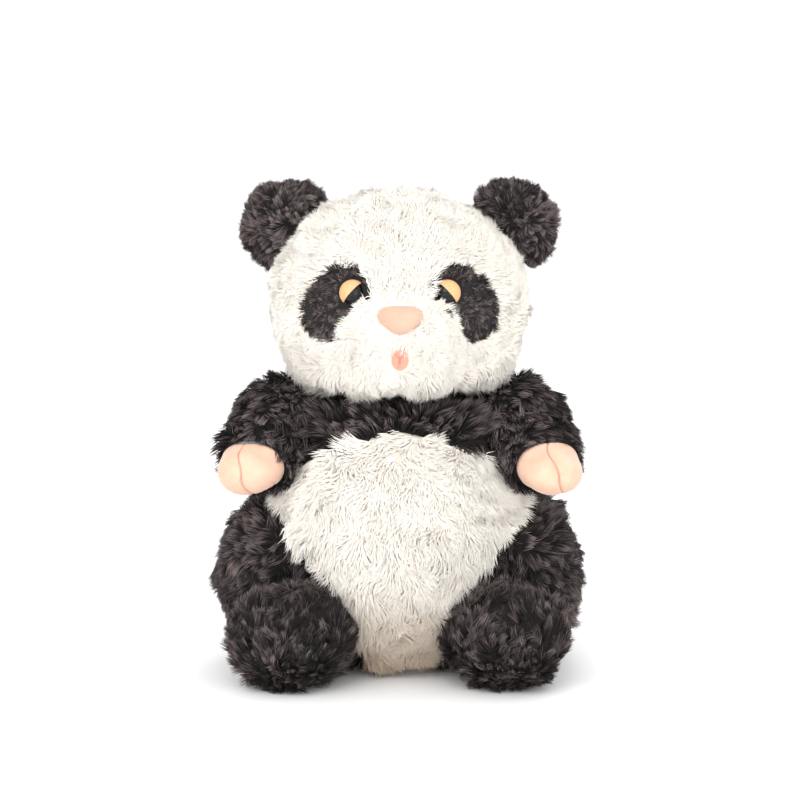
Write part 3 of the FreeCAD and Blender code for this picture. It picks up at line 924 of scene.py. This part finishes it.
def eye_place(side):
    """Where an eye sits on the head and the way that it looks."""
    middle = np.mean(node_box("eye_" + ("left" if side < 0 else "right")), axis=0)
    ball = ellipsoid(HEAD, (HEAD_HALF_WIDTH, HEAD_HALF_DEPTH, HEAD_HALF_DEPTH))
    across = (middle[0] / HEAD_HALF_WIDTH) ** 2 + ((middle[2] - HEAD[2]) / HEAD_HALF_DEPTH) ** 2
    point = np.array([middle[0], HEAD[1] - HEAD_HALF_DEPTH * math.sqrt(1 - across), middle[2]])
    normal = slope_of(ball, point[None])[0]
    return point - normal * 1.5, normal


EYES = {side: eye_place(side) for side, _ in SIDES}


def patch_of(side):
    """The dark oval round an eye, which leans outwards at its foot."""
    tilt = math.radians(36.0)

    def oval(points):
        x = points[:, 0] - EYES[side][0][0] - side * 8.5
        z = points[:, 2] - EYES[side][0][2] + 6.0
        along = z * math.cos(tilt) - side * x * math.sin(tilt)
        across = side * x * math.cos(tilt) + z * math.sin(tilt)
        return np.hypot(across / 15.5, along / 21.5) < 1
    return all_of(oval, under(Y, HEAD[1]), further_out(side, 0), outside(on_muzzle))


def off_eyes(room):
    """Further than room from the middle of both eyes."""
    def region(points):
        clear = np.ones(len(points), bool)
        for point, normal in EYES.values():
            offset = points - point
            depth = offset @ normal
            clear &= np.linalg.norm(offset - depth[:, None] * normal, axis=1) > room
        return clear | (points[:, 1] > HEAD[1])
    return region


def off_oval(middle, half_width, half_height):
    """Outside an oval on the front of the muzzle."""
    def region(points):
        offset = points - middle
        away = np.hypot(offset[:, 0] / half_width, offset[:, 2] / half_height) > 1
        return away | (points[:, 1] > middle[1] + 20)
    return region


def off_neck(points):
    return (points[:, 2] > NECK_TOP) | wide_of_neck(points)


BARE = all_of(off_eyes(EYE_RADIUS + 0.8), off_neck)


def chin_length(points):
    """The fur grows longer towards the chin."""
    return 1 + 0.5 * np.clip((174.0 - points[:, 2]) / 14.0, 0, 1)


def snout_length(points):
    """The fur is short round the nose, and longer at the chin."""
    offset = points - NOSE
    return np.clip(np.hypot(offset[:, 0], offset[:, 2]) / 16, 0.45, 0.9) * chin_length(points)


def hanging(comb):
    """The same lie of the fur, but hanging down at the chin."""
    def lie(points):
        down = np.clip((176.0 - points[:, 2]) / 14.0, 0, 1)[:, None]
        return comb(points) - down * 1.5 * UP
    return lie


def build_head():
    form = head_form()
    centre = HEAD + np.array([0.0, -4.0, -6.0])
    pelt = Pelt(form, centre, 6)
    front = under(Y, HEAD_SEAM_Y)
    regions = {
        "muzzle_panel": on_muzzle,
        "face_panel": all_of(front, outside(on_muzzle)),
        "head_back_left": all_of(outside(front), outside(RIGHT)),
        "head_back_right": all_of(outside(front), RIGHT),
    }
    for node, region in regions.items():
        skin_piece(node + "_skin", "head", pelt, region, "white_plush", [node])
    grow_head_piles(pelt, regions)
    filling_piece("head_filling", "head", form, centre, 5.5, ["head_stuffing"])


def grow_head_piles(pelt, regions):
    face_comb = hanging(outward(NOSE + np.array([0, 20.0, -6.0]), 0.15))
    back_comb = hanging(outward(HEAD + 40 * UP, 0.3))
    snout_comb = hanging(outward(NOSE - 8.0 * AHEAD, 0.1))
    long_chin = {**FACE, "short": chin_length}
    for side, name in SIDES:
        half = all_of(regions["face_panel"], on_side(side), BARE, outside(patch_of(side)))
        grow_pile("face_pile_" + name, "head", pelt, half, long_chin, face_comb, 17000, 41 + side)
        back = all_of(regions["head_back_" + name], off_neck)
        grow_pile("head_back_pile_" + name, "head", pelt, back, long_chin, back_comb, 8500, 45 + side)
        build_patch(pelt, side, name)
    snout = all_of(on_muzzle, off_oval(NOSE + UP, 11.0, 6.8), off_oval(MOUTH, 6.0, 7.2), BARE)
    style = {**FACE, "short": snout_length}
    grow_pile("muzzle_pile", "head", pelt, snout, style, snout_comb, 16000, 49)


def build_patch(pelt, side, name):
    """The dark short-pile patch that is sewn on the face round an eye."""
    cut = all_of(patch_of(side), off_eyes(EYE_RADIUS - 0.5))
    nodes = ["eye_patch_" + name]
    skin_piece("eye_patch_skin_" + name, "head", pelt.lifted(0.9), cut, "black_short_plush", nodes)
    shown = all_of(patch_of(side), off_eyes(EYE_RADIUS + 0.8))
    comb = outward(EYES[side][0] + EYES[side][1] * -6.0, 0.1)
    grow_pile("eye_patch_pile_" + name, "head", pelt, shown, PATCH, comb, 3600, 55 + side)


def build_eye(side, name):
    """A glossy dome on a stem."""
    point, normal = EYES[side]
    stem = np.array([[2.0, -12.0], [2.0, 0.0], [EYE_RADIUS - 0.3, 0.0], [EYE_RADIUS, 0.3]])
    turn = np.linspace(0.06, math.pi / 2 - 0.04, 14)
    dome = np.stack([EYE_RADIUS * np.cos(turn), 5.6 * np.sin(turn)], axis=1)
    points, polygons = turned_points(np.vstack([stem, dome]))
    mesh = make_mesh("eye_dome_" + name, points @ facing(normal) + point, polygons)
    add_piece("eye_dome_" + name, "head", mesh, "eye_plastic", ["eye_" + name])
    build_lid(side, name, point, normal)


def build_lid(side, name, point, normal):
    """A thin tan shell over the upper part of an eye, whose edge slants down and outwards."""
    rows, columns = 18, 40
    look = unit(normal * 0.3 + np.array([0, -1.0, 0.1]))
    over = facing(look)
    slant = unit(side * over[0] * 0.74 + over[1] * 0.67)
    corner = np.cross(look, slant)
    arc = np.radians(np.linspace(4, 176, columns))[None, :, None]
    lift = np.radians(np.linspace(3, 84, rows))[:, None, None]
    crown = np.cos(lift) * look + np.sin(lift) * slant
    directions = (np.cos(arc) * corner + np.sin(arc) * crown).reshape(-1, 3)
    shell = point + directions * (EYE_RADIUS + 1.1)
    points, polygons = sheet_of(shell, directions, grid_faces(rows, columns), 0.8)
    mesh = make_mesh("eyelid_shell_" + name, points, polygons)
    add_piece("eyelid_shell_" + name, "head", mesh, "tan_plastic", ["eyelid_" + name])


def lay_on_muzzle(name, node, middle, flat, columns, height, crease, thickness):
    """A closed disc of cloth on the muzzle; height is how far each point stands out of it."""
    x, z = flat
    start = np.stack([middle[0] + x, np.full(len(x), MUZZLE[1]), middle[2] + z], axis=1)
    ahead = np.broadcast_to(AHEAD, start.shape)
    depth = reach_of(MUZZLE_BALL, start, ahead, 60.0)
    outer = start + ahead * (depth + height)[:, None]
    faces = grid_faces(len(x) // columns, columns, closed=True)[:, ::-1]
    points, polygons = sheet_of(outer, ahead, faces, thickness)
    mesh = make_mesh(name, points, polygons)
    add_values(mesh, "crease", np.tile(crease, 2))
    add_piece(name, "head", mesh, "peach_suede", [node])


def build_nose():
    """A flocked nose: flat on top, round at the sides, with a small point under its middle."""
    half_width, top, bottom = 11.8, 6.4, 8.0
    rows, columns = 16, 96
    turn = np.linspace(0, 2 * math.pi, columns, endpoint=False)
    across, up = np.cos(turn), np.sin(turn)
    narrowing = 1 - 0.34 * np.clip(-up, 0, 1) ** 1.4
    x = half_width * np.sign(across) * np.abs(across) ** 0.75 * narrowing
    z = np.where(up > 0, top * np.abs(up) ** 0.5, -bottom * np.abs(up) ** 1.25)
    share = np.linspace(0.002, 1.0, rows)
    flat = np.outer(share, x).reshape(-1), np.outer(share, z).reshape(-1)
    height = 5.0 * np.sqrt(np.clip(1 - np.repeat(share, columns) ** 2.6, 0, 1)) + 1.8
    crease = np.full(rows * columns, 0.5)
    lay_on_muzzle("nose_pad", "nose", NOSE + UP, flat, columns, height, crease, 1.4)


def build_mouth():
    """A little oval pocket with a folded tongue of the same cloth in it, darkened with painted shade
    inside the pocket and along the folds.
    """
    rows, columns = 22, 72
    share = np.linspace(0.002, 1.0, rows)
    turn = np.linspace(0, 2 * math.pi, columns, endpoint=False)
    x = np.outer(share, 4.6 * np.cos(turn)).reshape(-1)
    z = np.outer(share, 5.6 * np.sin(turn)).reshape(-1)
    edge = np.repeat(share, columns)
    fold_middle = 0.8
    fold = 0.0
    for end_x, end_z in ((3.2, 4.0), (-2.6, 3.4), (-0.6, -4.6)):
        rise = end_z - fold_middle
        run = np.clip((x * end_x + (z - fold_middle) * rise) / (end_x ** 2 + rise ** 2), 0, 1)
        away = np.hypot(x - run * end_x, (z - fold_middle) - run * rise)
        fold = np.maximum(fold, np.exp(-(away / 0.55) ** 2))
    height = 1.2 + 1.6 * np.clip((edge - 0.82) / 0.18, 0, 1) ** 0.5 - 1.5 * fold * (1 - edge)
    # painted shade: darkest deep in the pocket and along the tongue's folds, lighter at the rim
    crease = np.clip(0.9 - 0.5 * edge ** 3 + fold * 0.9 * (1 - edge ** 4), 0, 1)
    lay_on_muzzle("mouth_cloth", "mouth_pocket", MOUTH, (x, z), columns, height, crease, 0.8)


# ---- ears

def build_ear(side, name):
    """A thick round ear with a shallow dish in its front face."""
    low, high = node_box("ear_front_" + name, "ear_back_" + name)
    middle_x = low[0] + EAR_RADIUS + 1.5 if side < 0 else high[0] - EAR_RADIUS - 1.5
    centre = np.array([middle_x, (low[1] + high[1]) / 2, high[2] - EAR_RADIUS])
    form = ellipsoid(centre, (EAR_RADIUS - 2.2, 10.0, EAR_RADIUS - 2.2))
    dish = ellipsoid(centre + 21.0 * AHEAD, (17.0, 15.0, 17.0))
    form = without(form, dish, 5.0)
    form = without(form, grown(HEAD_BALL, 3.0), 3.0)
    pelt = Pelt(form, centre + np.array([side * 6.0, 1.0, 6.0]), 5)
    front = under(Y, centre[1])
    halves = (("ear_front_" + name, front, 4600), ("ear_back_" + name, outside(front), 4200))
    panels = [(node, node + "_skin", node + "_pile", region, count) for node, region, count in halves]
    style = {**BLACK, "length": 7.0, "tuft": 10.0, "lock": 12}
    shown = clear_of(HEAD_BALL, 4.5)
    fur_panels(pelt, "ear_" + name, panels, style, outward(centre), shown, 61 + 3 * side)


# ---- arms

def build_arm(side, name):
    """A furry sleeve that ends in a suede paw."""
    body = "arm_" + name
    start, end = mirrored(SHOULDER, side), mirrored(PAW, side)
    axis = unit(end - start)
    seam = start + (end - start) * PAW_SEAM
    form = arm_form(side, -PILE_ROOM + 1.5)
    middle = (start + end) / 2
    pelt = Pelt(waved(form, 0.8, 32.0, 81 + side), middle, 6)
    sleeve = lambda points: (points - seam) @ axis < 4.0
    skin_piece("arm_sleeve_skin_" + name, body, pelt, sleeve, "black_plush", ["arm_sleeve_" + name])
    comb = lambda points: axis * 0.8 + unit(points - middle) * 0.6 - 0.2 * UP
    cropped = lambda points: np.clip((seam - points) @ axis / 20.0 + 0.9, 0.65, 1.0)
    style = {**BLACK, "swirl": 34, "short": cropped}
    grow_pile("arm_pile_" + name, body, pelt, sleeve, style, comb, 10500, 83 + side)
    filling_piece("arm_filling_" + name, body, form, middle, 2.5, ["arm_stuffing_" + name])
    for half in (1, -1):
        node = "paw_outer_" if half == side else "paw_inner_"
        build_paw_half(side, name, node, half, axis)


def paw_crease(spin, lean, share):
    """How deep the seam and the darts of the suede are at each point; the same share also darkens the
    suede as painted shade.
    """
    from_seam = np.minimum(np.abs(spin), math.pi - np.abs(spin)) * np.sin(lean) * PAW_RADIUS
    crease = np.exp(-(from_seam / 0.7) ** 2)
    for place in (2.25, 2.7):
        aside = (np.abs(spin) - place) * np.sin(lean) * PAW_RADIUS
        dart = 0.6 * np.exp(-(aside / 0.6) ** 2) * np.clip((share - 0.45) * 5, 0, 1)
        crease = np.maximum(crease, dart)
    return crease


def build_paw_half(side, name, node, half, axis):
    """One of two pieces of suede that meet in a curved seam, with small darts and a rolled edge."""
    rows, columns = 60, 72
    centre = mirrored(PAW, side)
    pole = unit(axis + np.array([0, -1.0, 0.15]))
    up = unit(UP - (UP @ pole) * pole)
    across = np.cross(pole, up)
    turn = np.linspace(0, math.pi, columns) * half
    level = pole @ axis
    slant = np.cos(turn) * (up @ axis) + np.sin(turn) * (across @ axis)
    rim = np.arctan2(slant, level) + np.arccos(-0.42 / np.hypot(level, slant))
    lean = np.linspace(0.002, 1.0, rows)[:, None] * rim
    spin = np.broadcast_to(turn, (rows, columns))
    share = np.repeat(np.linspace(0, 1, rows), columns)
    seam_turn = spin + 0.35 * np.sin(lean * 1.6)
    radial = np.cos(seam_turn)[..., None] * up + np.sin(seam_turn)[..., None] * across
    directions = (np.cos(lean)[..., None] * pole + np.sin(lean)[..., None] * radial).reshape(-1, 3)
    reach = reach_of(arm_form(side, -1.2), centre, directions, 60.0, 1.5)
    spin, lean = spin.reshape(-1), lean.reshape(-1)
    crease = paw_crease(spin, lean, share)
    rolled = np.clip((share - 0.92) / 0.08, 0, 1)
    reach = reach - 0.9 * crease + 0.4 * np.sin(spin * 2) ** 2 - 1.5 * rolled
    faces = grid_faces(rows, columns)
    faces = faces if half > 0 else faces[:, ::-1]
    points, polygons = sheet_of(centre + directions * reach[:, None], directions, faces, 1.0)
    mesh = make_mesh(node + "suede_" + name, points, polygons)
    # painted shade in the seam and darts
    add_values(mesh, "crease", np.tile(crease * 0.7, 2))
    add_piece(node + "suede_" + name, "arm_" + name, mesh, "peach_suede", [node + name])


# ---- legs

def leg_panels(name, halves):
    """The panels of a thigh or a foot, for fur_panels."""
    return [(node + name, node + "skin_" + name, node + "pile_" + name, region, count)
            for node, region, count in halves]


def build_leg(side, name):
    """A furry thigh, and the foot in front of it."""
    body = "leg_" + name
    hip, foot = mirrored(HIP, side), mirrored(FOOT, side)
    thigh = common(haunch_form(side, -PILE_ROOM), above(1.0), 6.0)
    pelt = Pelt(waved(thigh, 1.0, 36.0, 91 + side), hip, 6)
    outer = further_out(side, HIP[0] + 4.0)
    halves = (("haunch_outer_", outer, 10500), ("haunch_inner_", outside(outer), 4500))
    panels = leg_panels(name, halves)
    shown = all_of(clear_of(foot_form(side, 0.5)), OFF_FLOOR, further_out(side, HIP[0] - 34))
    comb = outward(hip + np.array([0, -20.0, 12.0]), 0.35)
    fur_panels(pelt, body, panels, BLACK, comb, shown, 93 + side)
    filling_piece("haunch_filling_" + name, body, thigh, hip, 5.0, ["haunch_stuffing_" + name])
    build_foot(side, name, body, foot)


def build_foot(side, name, body, foot):
    """A puffed foot, whose fur stands away from the middle of its sole."""
    seam_y = foot[1] - 4.0
    form = common(foot_form(side, -PILE_ROOM), above(1.0), 6.0)
    rim = seam_at(lambda points: points[:, 1] - seam_y, 1.8, 1.6)
    pelt = Pelt(waved(dented(form, rim), 0.9, 30.0, 101 + side), foot, 6)
    front = under(Y, seam_y)
    back = all_of(outside(front), clear_of(haunch_form(side, -2.0)))
    panels = leg_panels(name, (("foot_front_", front, 10500), ("foot_back_", back, 5500)))
    # Painted light on the foot's tone: a painted highlight in a band along the tufted rim by the seam, and
    # painted shade that darkens the rest of the foot, its front face included.
    painted_rim_light_and_shade = lambda points: 0.5 * np.exp(-((points[:, 1] - seam_y - 3.0) / 7.0) ** 2) - 0.28
    style = {**BLACK, "light": painted_rim_light_and_shade, "swirl": 40}
    comb = outward(foot + np.array([0, 6.0, -34.0]))
    fur_panels(pelt, body, panels, style, comb, OFF_FLOOR, 103 + side)
    inside = without(form, haunch_form(side, -1.0), 2.0)
    filling_piece("foot_filling_" + name, body, inside, foot + 12.0 * AHEAD, 5.0,
                  ["foot_stuffing_" + name])


# ---- tail, label and hidden parts

def build_tail():
    low, high = node_box("tail")
    centre = np.array([0.0, high[1] - 13.0, (low[2] + high[2]) / 2])
    pelt = Pelt(ellipsoid(centre, (12.0, 10.0, 10.0)), centre, 4)
    mesh = make_mesh("tail_ball", pelt.points, [pelt.faces])
    add_piece("tail_ball", "torso", mesh, "white_plush", ["tail"], "white_plush_backing")
    style = {**FACE, "length": 8.0}
    grow_pile("tail_pile", "torso", pelt, over(Y, centre[1] - 6), style, outward(centre, 0.3), 2000, 111)


def build_label():
    """A blank satin label, a flat loop made as one thin sheet with a slight wave."""
    low, high = node_box("sewn_label")
    rows, columns = 30, 24
    y = np.repeat(np.linspace(low[1], high[1], rows), columns)
    z = np.tile(np.linspace(low[2], high[2], columns), rows)
    x = (low[0] + high[0]) / 2 + 0.7 * np.sin((y - low[1]) / 5.0) * (y - low[1]) / (high[1] - low[1])
    normals = np.broadcast_to(np.array([1.0, 0, 0]), (len(x), 3))
    points, polygons = sheet_of(np.stack([x, y, z], axis=1), normals, grid_faces(rows, columns), 0.5)
    piece = add_piece("label_loop", "torso", make_mesh("label_loop", points, polygons), "label_satin",
                      ["sewn_label"])


def finish_hidden_nodes():
    """The CAD nodes that stay: they get the materials of their slots."""
    kept = {
        "pellet_pouch": "lining_cloth", "pellet_fill": "filling_pellets",
        "neck_seam_ring": "lining_cloth", "neck_stuffing": "filling_fibre",
        "eye_washer_left": "washer_plastic", "eye_washer_right": "washer_plastic",
        "ear_seam_left": "lining_cloth", "ear_seam_right": "lining_cloth",
    }
    for node, material in kept.items():
        for material_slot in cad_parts[node].material_slots:
            material_slot.material = MATERIALS[material]


# ---- stage

def build_stage():
    """A pale floor, a bright even sky, soft lamps and two small ones for the glints in the eyes."""
    size = 6000.0
    corners = np.array([[-size, -size, 0], [size, -size, 0], [size, size, 0], [-size, size, 0]])
    floor = link_object("floor", make_mesh("floor", corners, [np.array([[0, 1, 2, 3]])]))
    material, _, shader = new_material("floor", 0.9, Specular_IOR_Level=0.1)
    shader.inputs["Base Color"].default_value = (0.97, 0.97, 0.97, 1.0)
    floor.data.materials.append(material)
    world = bpy.data.worlds.new("studio")
    world.use_nodes = True
    sky = world.node_tree.nodes["Background"].inputs
    sky["Color"].default_value = (1.0, 1.0, 1.0, 1.0)
    sky["Strength"].default_value = 1.10
    bpy.context.scene.world = world
    add_lamp("key", (-0.6, -1.6, 1.2), 1.4, 16.0)
    add_lamp("fill", (0.8, -1.6, 0.6), 1.6, 10.0)
    add_lamp("back", (0.5, 1.7, 1.1), 1.6, 12.0)
    for side, name in SIDES:
        add_lamp("glint_" + name, (side * 0.55, -1.2, 0.03), 0.06, 0.8)
    bpy.context.scene.view_settings.view_transform = "Standard"


def aim(holder, place, target):
    """Puts a lamp or a camera at a place, facing the target; both are in metres."""
    holder.location = place
    holder.rotation_euler = (target - holder.location).to_track_quat("-Z", "Y").to_euler()


def add_lamp(name, place, size, power):
    lamp = bpy.data.lights.new(name, "AREA")
    lamp.size = size
    lamp.energy = power
    aim(link_object(name, lamp), place, Vector((0, 0, 0.13)))


def build_camera():
    """In front and a little above, far enough away for a gentle perspective."""
    low, high = CAD_BOX
    height = high.z - low.z
    target = Vector((0.0, 0.0, low.z + height * 0.548))
    distance, rise = 1.25, math.radians(7.0)
    frame_height = height * 448 / 270
    camera = bpy.data.cameras.new("camera")
    camera.sensor_width = 36.0
    camera.lens = camera.sensor_width * distance / frame_height
    camera.clip_end = 20.0
    holder = link_object("camera", camera)
    aim(holder, target + Vector((0.0, -math.cos(rise), math.sin(rise))) * distance, target)
    bpy.context.scene.camera = holder


build_camera()
build_stage()
build_torso()
build_head()
build_nose()
build_mouth()
for side, name in SIDES:
    build_eye(side, name)
    build_ear(side, name)
    build_arm(side, name)
    build_leg(side, name)
build_tail()
build_label()
finish_hidden_nodes()
